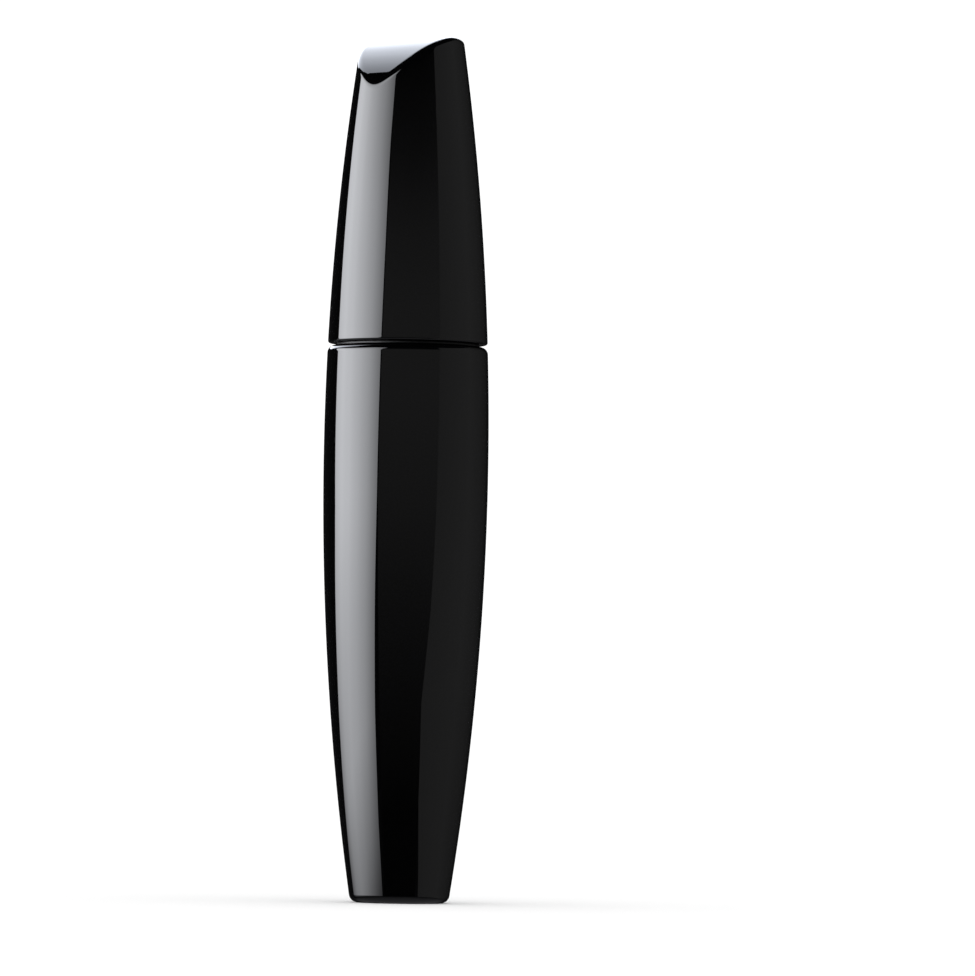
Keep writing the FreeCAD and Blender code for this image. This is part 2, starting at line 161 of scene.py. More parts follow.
class WandSizes(bpy.types.PropertyGroup):
    """The stem, the twisted wire and the bristles."""

    stem_tip_round: length("Stem tip rounding", "Rounding of the stem's end", 1.2)
    strand_radius: length("Strand radius", "Radius of one strand of the wire", 0.25)
    twist_pitch: length("Twist pitch", "Rise of the twisted wire in one turn", 3.0)
    fibre_radius: length("Fibre radius", "Radius of a bristle at its root", 0.048)
    fibre_count: count("Fibre count", "Bristles on the brush", 3400)
    fibre_spread: factor("Fibre spread", "Spread of a row of bristles, in radians", 0.26)
    tip_radius: length("Tip radius", "Radius of the brush at its tip", 2.15)


class FinishColours(bpy.types.PropertyGroup):
    """Colours of the tube's plastics, metal, bristles and cream."""

    gloss_black: colour("Gloss black", "Polished shells", (0.0005, 0.0005, 0.0006))
    satin_black: colour("Satin black", "Vial, inner cap and stem", (0.012, 0.012, 0.013))
    natural: colour("Natural plastic", "Wiper and washer", (0.66, 0.65, 0.61))
    cream: colour("Mascara", "The mascara itself", (0.004, 0.0035, 0.004))
    # The root colour is painted shade near the wire; the tip colour is a painted sheen at the
    # bristles' ends.
    fibre_root_painted_shade: colour("Bristle root", "Bristles near the wire", (0.010, 0.011, 0.026))
    fibre_tip_painted_sheen: colour("Bristle tip", "Bristles at their ends", (0.05, 0.052, 0.11))
    steel: colour("Wire steel", "The twisted wire", (0.32, 0.32, 0.34))
    label: colour("Label film", "The blank label", (0.03, 0.03, 0.032))


class StudioSizes(bpy.types.PropertyGroup):
    """Camera, floor and light panels."""

    azimuth: angle("Camera azimuth", "Way the camera stands from the tube", -51.0)
    distance: length("Camera distance", "From the tube's axis to the camera", 930.0)
    eye_height: length("Eye height", "Height of the camera above the floor", 24.5)
    aim_height: length("Aim height", "Height of the picture's centre on the tube", 56.7)
    aim_aside: length("Aim aside", "How far right of the tube the camera aims", 11.18)
    view_width: length("View width", "Width of the picture at the tube", 133.15)
    roll: angle("Camera roll", "Tilt of the picture", 0.88)
    floor_size: length("Floor size", "Side of the floor", 9000.0)
    panel_distance: length("Panel distance", "From the tube to the light panels", 900.0)


GROUPS = {
    "tube_outline": OutlineSizes,
    "tube_neck": NeckSizes,
    "tube_wand": WandSizes,
    "tube_colours": FinishColours,
    "tube_studio": StudioSizes,
}


# ---- surfaces

def rounded(corners, closed=True, steps=7, hold=0.06 * MM):
    """Outline through (radius, height, rounding) corners, with a circular arc at each rounding.

    An arc starts and ends rounding / tan(half the corner's angle) from the corner. A point at the
    distance hold on each side of it keeps the flats flat when the surface is shaded smooth.
    """
    points = np.array([corner[:2] for corner in corners])
    path = []
    for i, (_, _, radius) in enumerate(corners):
        here = points[i]
        inside = closed or 0 < i < len(corners) - 1
        if radius <= 0 or not inside:
            path.append(here[None])
            continue
        after = (i + 1) % len(points)
        back, ahead = points[i - 1] - here, points[after] - here
        room = CORNER_SHARE * min(
            np.linalg.norm(side) * radius / (radius + corners[neighbour][2])
            for side, neighbour in ((back, i - 1), (ahead, after)))
        back, ahead = back / np.linalg.norm(back), ahead / np.linalg.norm(ahead)
        half = math.acos(np.clip(back @ ahead, -1, 1)) / 2
        reach = min(radius / math.tan(half), room)
        radius = reach * math.tan(half)
        middle = back + ahead
        centre = here + middle / np.linalg.norm(middle) * radius / math.sin(half)
        turn = math.pi - 2 * half
        first, last = here + back * reach - centre, here + ahead * reach - centre
        along = np.linspace(0, 1, steps)[:, None]
        swing = np.sin((1 - along) * turn) * first + np.sin(along * turn) * last
        held = reach + min(hold, room)
        before, beyond = here + back * held, here + ahead * held
        path += [before[None], centre + swing / math.sin(turn), beyond[None]]
    return np.concatenate(path)


def refined(path, step, closed=True):
    """The outline with points added so that none are further apart than step."""
    ends = np.roll(path, -1, axis=0) if closed else path[1:]
    starts = path if closed else path[:-1]
    pieces = []
    for start, end in zip(starts, ends):
        parts = max(1, math.ceil(np.linalg.norm(end - start) / step))
        pieces.append(start + (end - start) * np.arange(parts)[:, None] / parts)
    if not closed:
        pieces.append(path[-1:])
    return np.concatenate(pieces)


def fine_between(path, chosen, step, coarse=4 * MM):
    """An open outline refined to step from its first chosen point to its last, coarser outside."""
    first, last = np.flatnonzero(chosen)[[0, -1]]
    return np.concatenate([
        refined(path[:first + 1], coarse, closed=False)[:-1],
        refined(path[first:last + 1], step, closed=False)[:-1],
        refined(path[last:], coarse, closed=False),
    ])


def mesh_object(name, surface, body, replaced, material):
    """A smooth mesh piece from a surface's points and faces, in place of a CAD node."""
    points, faces = surface
    mesh = bpy.data.meshes.new(name)
    mesh.from_pydata(points, [], faces)
    mesh.polygons.foreach_set("use_smooth", np.ones(len(mesh.polygons), dtype=bool))
    mesh.update()
    piece = bpy.data.objects.new(name, mesh)
    bpy.context.collection.objects.link(piece)
    mesh.materials.append(material)
    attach(piece, body)
    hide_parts(replaced)
    return piece


def ring_faces(rows, columns, closed):
    """Quads of a grid whose columns go round the axis; closed joins its last row to its first."""
    row = np.arange(rows if closed else rows - 1)[:, None]
    column = np.arange(columns)[None, :]
    after, beside = (row + 1) % rows, (column + 1) % columns
    grid = [row * columns + column, row * columns + beside,
            after * columns + beside, after * columns + column]
    return np.stack(np.broadcast_arrays(*grid), axis=-1).reshape(-1, 4)


def round_grid(radii, heights, closed):
    """Points and faces of a surface whose radius and height are given on a (row, angle) grid.

    A point is (radius cos a, radius sin a, height). In an open outline the first and last rows
    lie on the axis, and each closes in one point there.
    """
    rows, columns = radii.shape
    around = np.arange(columns) * FULL_TURN / columns
    points = np.stack([radii * np.cos(around), radii * np.sin(around), heights], axis=-1)
    if closed:
        return points.reshape(-1, 3).tolist(), ring_faces(rows, columns, True).tolist()
    middle = points[1:-1].reshape(-1, 3)
    low, high = points[0].mean(axis=0), points[-1].mean(axis=0)
    faces = ring_faces(rows - 2, columns, False).tolist()
    column = np.arange(columns)
    beside = (column + 1) % columns
    foot, head = len(middle), len(middle) + 1
    last = (rows - 3) * columns
    faces += np.stack([np.full(columns, foot), beside, column], axis=-1).tolist()
    faces += np.stack([last + column, last + beside, np.full(columns, head)], axis=-1).tolist()
    return np.vstack([middle, low, high]).tolist(), faces


def turned(path, columns, closed, relief=None):
    """An outline carried round the axis; relief(angles, radii, heights) may change both."""
    around = np.arange(columns) * FULL_TURN / columns
    radii = np.repeat(path[:, :1], columns, axis=1)
    heights = np.repeat(path[:, 1:], columns, axis=1)
    if relief is not None:
        radii, heights = relief(around[None, :], radii, heights)
    return round_grid(radii, heights, closed)


def smooth_step(value):
    """0 below 0, 1 above 1, and 3v^2 - 2v^3 between."""
    value = np.clip(value, 0, 1)
    return value * value * (3 - 2 * value)


def screw_ridge(neck, around, heights, start):
    """Height of a thread's ridge, from 0 to 1.

    The ridge's middle climbs one pitch a turn. Across it the height falls from the crest's half
    width to the base's, and along it the ridge fades in and out over part of a turn.
    """
    climbed = (heights - start) / neck.thread_pitch
    lap = np.round(climbed - around / FULL_TURN)
    turn = around / FULL_TURN + lap
    off = np.abs(climbed - turn) * neck.thread_pitch
    across = (neck.thread_base / 2 - off) / ((neck.thread_base - neck.thread_crest) / 2)
    along = np.minimum(turn, neck.thread_turns - turn) / neck.thread_fade
    return smooth_step(across) * smooth_step(along)


def tubes(lines, radii, sides):
    """Points and faces of round tubes along many lines at once.

    lines is (line, step, xyz) and radii is (line, step). Each ring lies in the plane of two
    directions square to its line: one level, across it, and one square to both. Both ends close
    in a fan about a middle point.
    """
    ahead = np.gradient(lines, axis=1)
    ahead /= np.linalg.norm(ahead, axis=-1, keepdims=True)
    level = np.stack([-ahead[..., 1], ahead[..., 0], np.zeros(ahead.shape[:2])], axis=-1)
    steep = np.linalg.norm(level, axis=-1, keepdims=True) < 1e-6
    level = np.where(steep, [1.0, 0.0, 0.0], level)
    level /= np.linalg.norm(level, axis=-1, keepdims=True)
    other = np.cross(ahead, level)
    turn = np.arange(sides) * FULL_TURN / sides
    ring = (level[:, :, None] * np.cos(turn)[:, None] + other[:, :, None] * np.sin(turn)[:, None])
    shell = lines[:, :, None] + ring * radii[:, :, None, None]
    number, steps = lines.shape[:2]
    size = steps * sides
    sheet = ring_faces(steps, sides, False)
    starts = np.arange(number)[:, None, None] * size
    walls = (starts + sheet[None]).reshape(-1, 4)
    ends = number * size
    edge = np.arange(sides)
    beside = (edge + 1) % sides
    first = starts + np.stack([beside, edge], axis=-1)[None]
    last = starts + np.stack([edge, beside], axis=-1)[None] + size - sides
    foot = np.repeat(ends + 2 * np.arange(number), sides)[:, None]
    fans = [np.hstack([foot, first.reshape(-1, 2)]), np.hstack([foot + 1, last.reshape(-1, 2)])]
    points = np.vstack([shell.reshape(-1, 3), lines[:, [0, -1]].reshape(-1, 3)])
    faces = walls.tolist() + fans[0].tolist() + fans[1].tolist()
    return points.tolist(), faces


# ---- outline of the tube

def widest_radius():
    """Radius of the widest section, from the frame."""
    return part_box("bottle_shell")[1][0]


def seam_height():
    """Height of the bottle's rim."""
    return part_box("bottle_shell")[1][2]


def cap_span():
    """Heights of the cap's foot and top."""
    low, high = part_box("cap_shell")
    return low[2], high[2]


def flank(shape, heights, upper):
    """Outside radius at heights: an arc that is upright at the widest section.

    With the rise h and the sag d to an end, the arc's radius is (h^2 + d^2) / 2d.
    """
    widest = widest_radius()
    end = shape.top_diameter / 2 if upper else shape.base_diameter / 2
    rise = cap_span()[1] - shape.widest_height if upper else shape.widest_height
    sag = widest - end
    arc = (rise ** 2 + sag ** 2) / (2 * sag)
    return widest - arc + np.sqrt(arc ** 2 - (heights - shape.widest_height) ** 2)


def outside(shape, heights):
    """Outside radius at heights, on whichever arc each lies."""
    heights = np.asarray(heights, dtype=float)
    above = heights > shape.widest_height
    return np.where(above, flank(shape, heights, True), flank(shape, heights, False))


# ---- materials

class Signal:
    """One output of a node, written in sums like a number."""

    def __init__(self, tree, socket):
        self.tree = tree
        self.socket = socket

    def _sum(self, operation, first, second):
        return self.tree.node("ShaderNodeMath", {"operation": operation}, {0: first, 1: second})

    def __add__(self, other):
        return self._sum("ADD", self, other)

    def __radd__(self, other):
        return self._sum("ADD", other, self)

    def __sub__(self, other):
        return self._sum("SUBTRACT", self, other)

    def __rsub__(self, other):
        return self._sum("SUBTRACT", other, self)

    def __mul__(self, other):
        return self._sum("MULTIPLY", self, other)

    def __rmul__(self, other):
        return self._sum("MULTIPLY", other, self)


class NodeTree:
    """A node tree, with one method that adds any node."""

    def __init__(self, tree):
        self.tree = tree

    def node(self, kind, settings, inputs, output=0):
        """Add a node: its settings first, then values or links for its sockets."""
        made = self.tree.nodes.new(kind)
        for name, value in settings.items():
            if name == "stops":
                self.set_stops(made.color_ramp, value)
            else:
                setattr(made, name, value)
        for name, value in inputs.items():
            self.feed(made.inputs[name], value)
        return Signal(self, made.outputs[output]) if made.outputs else None

    def set_stops(self, ramp, stops):
        """Give a colour ramp its (position, colour) stops."""
        while len(ramp.elements) < len(stops):
            ramp.elements.new(1.0)
        for element, (position, tint) in zip(ramp.elements, stops):
            element.position = position
            element.color = (*tint, 1.0)

    def feed(self, socket, value):
        """Link a signal to a socket, or set the socket's own value."""
        if isinstance(value, Signal):
            self.tree.links.new(value.socket, socket)
        else:
            socket.default_value = value


class Paint(NodeTree):
    """A procedural material with a principled shader."""

    def __init__(self, name):
        self.material = bpy.data.materials.new(name)
        self.material.use_nodes = True
        super().__init__(self.material.node_tree)
        self.shader = self.tree.nodes["Principled BSDF"]
        self.place = self.node("ShaderNodeTexCoord", {}, {}, "Object")

    def noise(self, scale, detail=4.0, roughness=0.55, stretch=(1, 1, 1)):
        """Fractal noise of so many features a metre, stretched along an axis if asked."""
        place = self.node("ShaderNodeMapping", {}, {"Vector": self.place, "Scale": stretch})
        sockets = {"Vector": place, "Scale": scale, "Detail": detail, "Roughness": roughness}
        return self.node("ShaderNodeTexNoise", {}, sockets, "Fac")

    def fade(self, value, low, high):
        """0 where value is at low, 1 where it is at high, smooth between."""
        sockets = {"Value": value, "From Min": low, "From Max": high}
        return self.node("ShaderNodeMapRange", {"interpolation_type": "SMOOTHSTEP"}, sockets)

    def mix(self, share, first, second):
        """Blend two colours by a share from 0 to 1."""
        tints = [(*tint, 1.0) if not isinstance(tint, Signal) else tint for tint in (first, second)]
        settings = {"data_type": "RGBA", "clamp_factor": True}
        return self.node("ShaderNodeMix", settings, {0: share, 6: tints[0], 7: tints[1]}, 2)

    def bump(self, height, distance, strength=1.0):
        """A bump of a height signal, distance metres deep."""
        sockets = {"Height": height, "Distance": distance, "Strength": strength}
        return self.node("ShaderNodeBump", {}, sockets)

    def from_axis(self):
        """Distance from the tube's axis, in metres."""
        kind = "ShaderNodeVectorMath"
        level = self.node(kind, {"operation": "MULTIPLY"}, {0: self.place, 1: (1, 1, 0)})
        return self.node(kind, {"operation": "LENGTH"}, {0: level}, "Value")

    def finish(self, **sockets):
        """Set or link the shader's sockets, named with underscores, and return the material."""
        for name, value in sockets.items():
            socket = self.shader.inputs[name.replace("_", " ")]
            is_colour = socket.type == "RGBA" and not isinstance(value, Signal)
            self.feed(socket, (*value, 1.0) if is_colour else value)
        return self.material


def polished_black(tint):
    """Piano-black plastic: near-mirror gloss, faint wipe marks and hairline polish lines."""
    paint = Paint("polished_black")
    wipe = paint.fade(paint.noise(55, stretch=(1, 1, 0.35)), 0.5, 0.75)
    lines = paint.noise(900, detail=2.0, stretch=(1, 1, 0.03))
    ripple = paint.noise(120, detail=1.0)
    relief = ripple + lines * 0.02
    return paint.finish(
        Base_Color=paint.mix(wipe, tint, tuple(2.2 * c for c in tint)),
        Roughness=0.022 + wipe * 0.03,
        IOR=1.5,
        Normal=paint.bump(relief, 0.0000025),
    )


def moulded_black(name, tint, roughness):
    """Satin moulded plastic with a fine spark-eroded grain and slight flow marks."""
    paint = Paint(name)
    grain = paint.noise(9000, detail=2.0)
    flow = paint.noise(160, stretch=(1, 1, 0.2))
    return paint.finish(
        Base_Color=paint.mix(flow, tint, tuple(1.7 * c for c in tint)),
        Roughness=roughness + 0.12 * (flow - 0.5) + 0.06 * (grain - 0.5),
        IOR=1.5,
        Normal=paint.bump(grain, 0.000012, 0.6),
    )


def natural_plastic(tint, cream):
    """Milky soft plastic, smeared with mascara towards the hole that the stem runs through."""
    paint = Paint("natural_plastic")
    smear = paint.noise(420, detail=6.0, stretch=(1, 1, 0.4))
    near = 1 - paint.fade(paint.from_axis(), 0.0021, 0.0048)
    stain = paint.fade(near * 0.9 + smear * 0.55, 0.52, 0.7)
    return paint.finish(
        Base_Color=paint.mix(stain, tint, cream),
        Roughness=0.42 - stain * 0.24,
        IOR=1.5,
        Subsurface_Weight=0.25,
        Subsurface_Radius=(0.002, 0.002, 0.0018),
        Normal=paint.bump(smear * stain, 0.00008),
    )


def washer_foam(tint):
    """Closed-cell foam: matte, with small open cells on its cut faces, darkened inside by painted
    shade.
    """
    paint = Paint("washer_foam")
    sockets = {"Vector": paint.place, "Scale": 3800.0}
    cells = paint.node("ShaderNodeTexVoronoi", {}, sockets, "Distance")
    pits = paint.fade(cells, 0.25, 0.6)
    return paint.finish(
        # The colour is darker in each cell's hollow: painted shade in the pits.
        Base_Color=paint.mix(pits, tuple(0.75 * c for c in tint), tint),
        Roughness=0.72 + 0.15 * pits,
        Normal=paint.bump(pits, 0.00004),
    )


def wet_cream(tint):
    """Mascara: a black cream, glossy where it was wiped and lumpy where it stood."""
    paint = Paint("wet_cream")
    lumps = paint.noise(650, detail=7.0, roughness=0.6)
    return paint.finish(
        Base_Color=paint.mix(lumps, tint, tuple(3.0 * c for c in tint)),
        Roughness=0.16 + lumps * 0.3,
        IOR=1.45,
        Normal=paint.bump(lumps, 0.00025),
    )


def drawn_wire(tint):
    """Drawn steel with fine lines along the strand."""
    paint = Paint("drawn_wire")
    lines = paint.noise(5200, detail=2.0, stretch=(1, 1, 0.25))
    return paint.finish(
        Base_Color=paint.mix(lines, tuple(0.55 * c for c in tint), tint),
        Metallic=1.0,
        Roughness=0.24 + lines * 0.16,
        Normal=paint.bump(lines, 0.000006),
    )


def nylon_fibre(root, tip):
    """Bristle nylon: painted shade darkens it at the wire, a painted slate-violet sheen lightens it
    at the ends, and each bristle has its own random tone.
    """
    paint = Paint("nylon_fibre")
    reach = paint.node("ShaderNodeAttribute", {"attribute_name": "reach"}, {}, "Fac")
    shade = paint.node("ShaderNodeAttribute", {"attribute_name": "shade"}, {}, "Fac")
    # Painted shade at the roots, fading into a painted sheen towards the tips, scaled by each
    # bristle's random tone.
    share = paint.fade(reach, 0.1, 1.0) * (0.35 + 0.65 * shade)
    return paint.finish(
        Base_Color=paint.mix(share, root, tip),
        Roughness=0.26 + shade * 0.2,
        IOR=1.53,
    )


def label_film(tint):
    """Blank satin film with a faint paper grain."""
    paint = Paint("label_film")
    grain = paint.noise(5200, detail=3.0)
    return paint.finish(
        Base_Color=paint.mix(grain, tint, tuple(1.5 * c for c in tint)),
        Roughness=0.42 + 0.12 * grain,
        Normal=paint.bump(grain, 0.000008),
    )


# ---- bottle pieces

def bottle_shell(shape, material):
    """Spindle-shaped cup: its outline is the two flank arcs, the straight mouth and the floor."""
    seam = seam_height()
    widest = shape.widest_height
    lower_step, upper_step, inner_rows = 2.6 * MM, 2.4 * MM, 30
    lower = np.linspace(0, widest, round(widest / lower_step) + 1)
    upper = np.linspace(widest, seam, round((seam - widest) / upper_step) + 1)
    heights = np.concatenate([lower, upper[1:]])
    radii = outside(shape, heights)
    roundings = np.zeros(len(heights))
    roundings[0], roundings[-1] = shape.base_edge, shape.rim_edge
    wall = list(zip(radii, heights, roundings))
    mouth = radii[-1] - shape.shell_wall
    inner_heights = np.linspace(seam, shape.shell_floor, inner_rows)
    inner_radii = np.minimum(outside(shape, inner_heights) - shape.shell_wall, mouth)
    inner = [(r, z, 0.0) for r, z in zip(inner_radii[1:-1], inner_heights[1:-1])]
    seat_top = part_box("inner_vial")[0][2]
    seat_inside = shape.seat_radius - shape.seat_wall
    soft, fine = 0.4 * MM, 0.15 * MM
    path = rounded([
        (0.0, shape.label_recess, 0.0),
        (shape.label_radius, shape.label_recess, fine / 2),
        (shape.label_radius, 0.0, fine / 2),
        *wall,
        (mouth, seam, fine),
        *inner,
        (inner_radii[-1], shape.shell_floor, soft),
        (shape.seat_radius, shape.shell_floor, soft),
        (shape.seat_radius, seat_top, fine),
        (seat_inside, seat_top, fine),
        (seat_inside, shape.shell_floor, soft),
        (0.0, shape.shell_floor, 0.0),
    ], closed=False, steps=9)
    return mesh_object("bottle_shell_gloss", turned(path, shape.facets, False),
                       "bottle", "bottle_shell", material)


def base_label(material):
    """Thin blank disc with a rounded rim."""
    low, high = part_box("base_label")
    edge = 0.04 * MM
    path = rounded([
        (0.0, low[2], 0.0), (high[0], low[2], edge),
        (high[0], high[2], edge), (0.0, high[2], 0.0),
    ], closed=False, steps=4)
    return mesh_object("base_label_film", turned(path, columns=96, closed=False),
                       "bottle", "base_label", material)


def shoulder_collar(neck, material):
    """Stepped ring around the neck's foot."""
    low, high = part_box("shoulder_collar")
    seam = seam_height()
    shape = bpy.context.scene.tube_outline
    edge, fine, fit = 0.15 * MM, 0.05 * MM, 0.05 * MM
    hole = neck.foot_radius + fit
    plug = float(outside(shape, seam)) - (shape.shell_wall + fit)
    path = rounded([
        (hole, low[2], edge),
        (plug, low[2], edge),
        (plug, seam, fine),
        (high[0], seam, fine),
        (high[0], high[2], edge),
        (hole, high[2], edge),
    ])
    return mesh_object("shoulder_collar_ring", turned(path, columns=192, closed=True),
                       "bottle", "shoulder_collar", material)


def inner_vial(neck, material):
    """Vial with its flange and neck; the thread is a ridge added to the neck's radius."""
    low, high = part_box("inner_vial")
    foot, top, flange = low[2], high[2], high[0]
    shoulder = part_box("shoulder_collar")[0][2]
    cap_foot = cap_span()[0]
    inside = neck.vial_radius - neck.vial_wall
    flange_foot = shoulder - neck.flange_thickness
    funnel = flange_foot - (inside - neck.neck_bore)
    edge = 0.2 * MM
    path = rounded([
        (0.0, foot, 0.0),
        (neck.vial_radius, foot, neck.vial_corner),
        (neck.vial_radius, flange_foot, edge),
        (flange, flange_foot, edge),
        (flange, shoulder, edge),
        (neck.foot_radius, shoulder, edge / 2),
        (neck.foot_radius, cap_foot + neck.foot_rise, edge),
        (neck.neck_radius, cap_foot + neck.foot_rise, edge),
        (neck.neck_radius, top, edge),
        (neck.neck_bore, top, edge),
        (neck.neck_bore, flange_foot, edge),
        (inside, funnel, edge),
        (inside, foot + neck.vial_wall, neck.vial_corner - neck.vial_wall),
        (0.0, foot + neck.vial_wall, 0.0),
    ], closed=False)
    on_neck = np.abs(path[:, 0] - neck.neck_radius) < ON_WALL
    above_foot = path[:, 1] > cap_foot + neck.foot_rise
    path = fine_between(path, on_neck & above_foot, step=0.07 * MM)

    def relief(around, radii, heights):
        ridge = screw_ridge(neck, around, heights, cap_foot + neck.thread_start)
        on_wall = np.abs(radii - neck.neck_radius) < ON_WALL
        return radii + neck.thread_depth * ridge * on_wall, heights

    surface = turned(path, columns=216, closed=False, relief=relief)
    return mesh_object("inner_vial_threaded", surface,
                       "bottle", "inner_vial", material)


def wiper(neck, material):
    """Sleeve with a flange and a cone; every lip is rounded."""
    low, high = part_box("wiper")
    cone_foot, top = low[2], high[2]
    sleeve_foot = cone_foot + neck.wiper_cone
    inside = neck.neck_bore - neck.wiper_wall
    lip = neck.wiper_hole + neck.wiper_wall
    edge, fine = 0.22 * MM, 0.05 * MM
    path = rounded([
        (neck.wiper_hole, cone_foot, edge),
        (lip, cone_foot, edge),
        (neck.neck_bore, sleeve_foot, edge),
        (neck.neck_bore, top - neck.wiper_flange, fine),
        (high[0], top - neck.wiper_flange, fine),
        (high[0], top, edge),
        (inside, top, 2 * edge),
        (inside, sleeve_foot, 2 * edge),
    ])
    return mesh_object("wiper_sleeve", turned(path, columns=144, closed=True),
                       "bottle", "wiper", material)


def mascara_fill(neck, material):
    """Cream in the vial: a thick-walled cup whose top is pulled into soft waves.

    The top's height gains 0.25 mm times sin(3a + 2) times sin(1200 r), a being the angle round
    the axis and r the radius in metres.
    """
    low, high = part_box("mascara_fill")
    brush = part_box("bristles")[1]
    tip = bpy.context.scene.tube_wand.tip_radius
    gap, soft, wave, ripples = 0.2 * MM, 0.5 * MM, 0.25 * MM, 1200
    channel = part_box("wand_stem")[1][0] + 2 * gap
    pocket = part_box("brush_wire")[0][2] - gap
    path = rounded([
        (0.0, low[2], 0.0),
        (high[0], low[2], neck.vial_corner - neck.vial_wall),
        (high[0], high[2], soft / 4),
        (high[0] - soft, high[2] - 2 * soft, soft),
        (channel + soft, high[2] - 2 * soft, soft),
        (channel, high[2] - 5 * soft, soft),
        (channel, brush[2] + gap, soft / 2),
        (brush[0] + gap, brush[2] + gap, soft / 2),
        (tip + gap, pocket, soft / 2),
        (0.0, pocket, 0.0),
    ], closed=False)
    path = refined(path, 1.0 * MM, closed=False)

    def relief(around, radii, heights):
        on_top = smooth_step((heights - (high[2] - 4 * soft)) / soft)
        return radii, heights + wave * on_top * np.sin(3 * around + 2) * np.sin(ripples * radii)

    return mesh_object("mascara_cream", turned(path, columns=96, closed=False, relief=relief),
                       "bottle", "mascara_fill", material)


# ---- cap pieces

def sealing_washer(neck, material):
    """Flat foam ring with rounded edges."""
    low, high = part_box("sealing_washer")
    edge = 0.18 * MM
    path = rounded([
        (neck.washer_hole, low[2], edge), (high[0], low[2], edge),
        (high[0], high[2], edge), (neck.washer_hole, high[2], edge),
    ])
    return mesh_object("sealing_washer_foam", turned(path, columns=128, closed=True),
                       "seal", "sealing_washer", material)


class SlantedCut:
    """The cap's top: level, then rolled over towards -X along a circle.

    Its height is the top's for x past the circle's centre c, and before it
    top - b + sqrt(b^2 - (x - c)^2), b being the bend's radius.
    """

    def __init__(self, shape):
        self.top = cap_span()[1]
        self.bend = shape.cut_bend
        depth = shape.cut_depth
        low_radius = float(outside(shape, self.top - depth))
        self.centre = math.sqrt(2 * self.bend * depth - depth ** 2) - low_radius

    def run(self, x):
        """How far x is past the circle's centre, short of the circle's end."""
        return np.clip(self.centre - x, 0, 0.999 * self.bend)

    def height(self, x):
        """Height of the cut over x."""
        return self.top - self.bend + np.sqrt(self.bend ** 2 - self.run(x) ** 2)

    def slope(self, x):
        """Rise of the cut for each metre of x."""
        return self.run(x) / np.sqrt(self.bend ** 2 - self.run(x) ** 2)


def rim_height(shape, cut, toward):
    """Height at which the side wall meets the cut, for each cosine of the angle, by halving."""
    halvings = 40
    low = np.full(toward.shape, cut.top - 1.6 * shape.cut_depth)
    high = np.full(toward.shape, cut.top + 1 * MM)
    for _ in range(halvings):
        middle = (low + high) / 2
        under = middle < cut.height(outside(shape, middle) * toward)
        low, high = np.where(under, middle, low), np.where(under, high, middle)
    return (low + high) / 2


def cap_top(shape, foot_end):
    """Rows of the cap from its foot to the middle of its top, as (row, angle) grids.

    Each meridian climbs the side wall, rounds the rim on a cubic curve that is tangent to wall
    and cut, and follows the cut to the axis.
    """
    cut = SlantedCut(shape)
    wall_rows, edge_rows, cut_rows = 72, 17, 44
    toward = np.cos(np.arange(shape.facets) * FULL_TURN / shape.facets)
    rim_z = rim_height(shape, cut, toward)
    rim_r = outside(shape, rim_z)
    small = 0.01 * MM
    lean = (rim_r - outside(shape, rim_z - small)) / small
    down = np.stack([-lean, -np.ones_like(lean)]) / np.hypot(lean, 1)
    fall = cut.slope(rim_r * toward) * toward
    inward = np.stack([-np.ones_like(fall), -fall]) / np.hypot(fall, 1)
    reach = shape.cut_edge

    start_z = rim_z + down[1] * reach
    start_r = outside(shape, start_z)
    end_r = rim_r + inward[0] * reach
    end_z = cut.height(end_r * toward)
    end_fall = cut.slope(end_r * toward) * toward
    leave = np.stack([lean, np.ones_like(lean)]) / np.hypot(lean, 1)
    arrive = np.stack([-np.ones_like(end_fall), -end_fall]) / np.hypot(end_fall, 1)
    turn = np.arccos(np.clip((leave * arrive).sum(axis=0), -1, 1))
    chord = np.hypot(end_r - start_r, end_z - start_z)
    handle = chord / (2 * np.sin(turn / 2)) * 4 / 3 * np.tan(turn / 4)
    first, last = np.stack([start_r, start_z]), np.stack([end_r, end_z])

    climb = np.linspace(0, 1, wall_rows)[:, None]
    wall_z = foot_end + (start_z - foot_end) * climb
    wall_r = outside(shape, wall_z)
    t = np.linspace(0, 1, edge_rows)[1:-1, None, None]
    curve = ((1 - t) ** 3 * first + 3 * (1 - t) ** 2 * t * (first + leave * handle)
             + 3 * (1 - t) * t ** 2 * (last - arrive * handle) + t ** 3 * last)
    cut_r = end_r * np.linspace(1, 0, cut_rows)[:, None]
    cut_z = cut.height(cut_r * toward)
    return np.vstack([wall_r, curve[:, 0], cut_r]), np.vstack([wall_z, curve[:, 1], cut_z])


def cap_shell(shape, material):
    """Outer cap: a plain hollow inside, and outside the flank, the rounded rim and the cut."""
    foot, top = cap_span()
    ceiling = top - shape.cap_crown
    bore_top = foot + shape.bore_height
    foot_radius = float(outside(shape, foot))
    soft, fine, join = 0.5 * MM, 0.2 * MM, 0.3 * MM
    climb = foot + 2 * MM
    hollow = rounded([
        (0.0, ceiling, 0.0),
        (shape.chamber_radius, ceiling, soft),
        (shape.cap_bore, bore_top, soft),
        (shape.cap_bore, foot, fine),
        (foot_radius, foot, shape.foot_edge),
        (float(outside(shape, climb)), climb, 0.0),
    ], closed=False, steps=9)[:-1]
    hollow = refined(hollow, 2 * MM, closed=False)
    wall_r, wall_z = cap_top(shape, hollow[-1, 1] + join)
    radii = np.vstack([np.repeat(hollow[:, :1], shape.facets, axis=1), wall_r])
    heights = np.vstack([np.repeat(hollow[:, 1:], shape.facets, axis=1), wall_z])
    return mesh_object("cap_shell_gloss", round_grid(radii, heights, False),
                       "cap", "cap_shell", material)


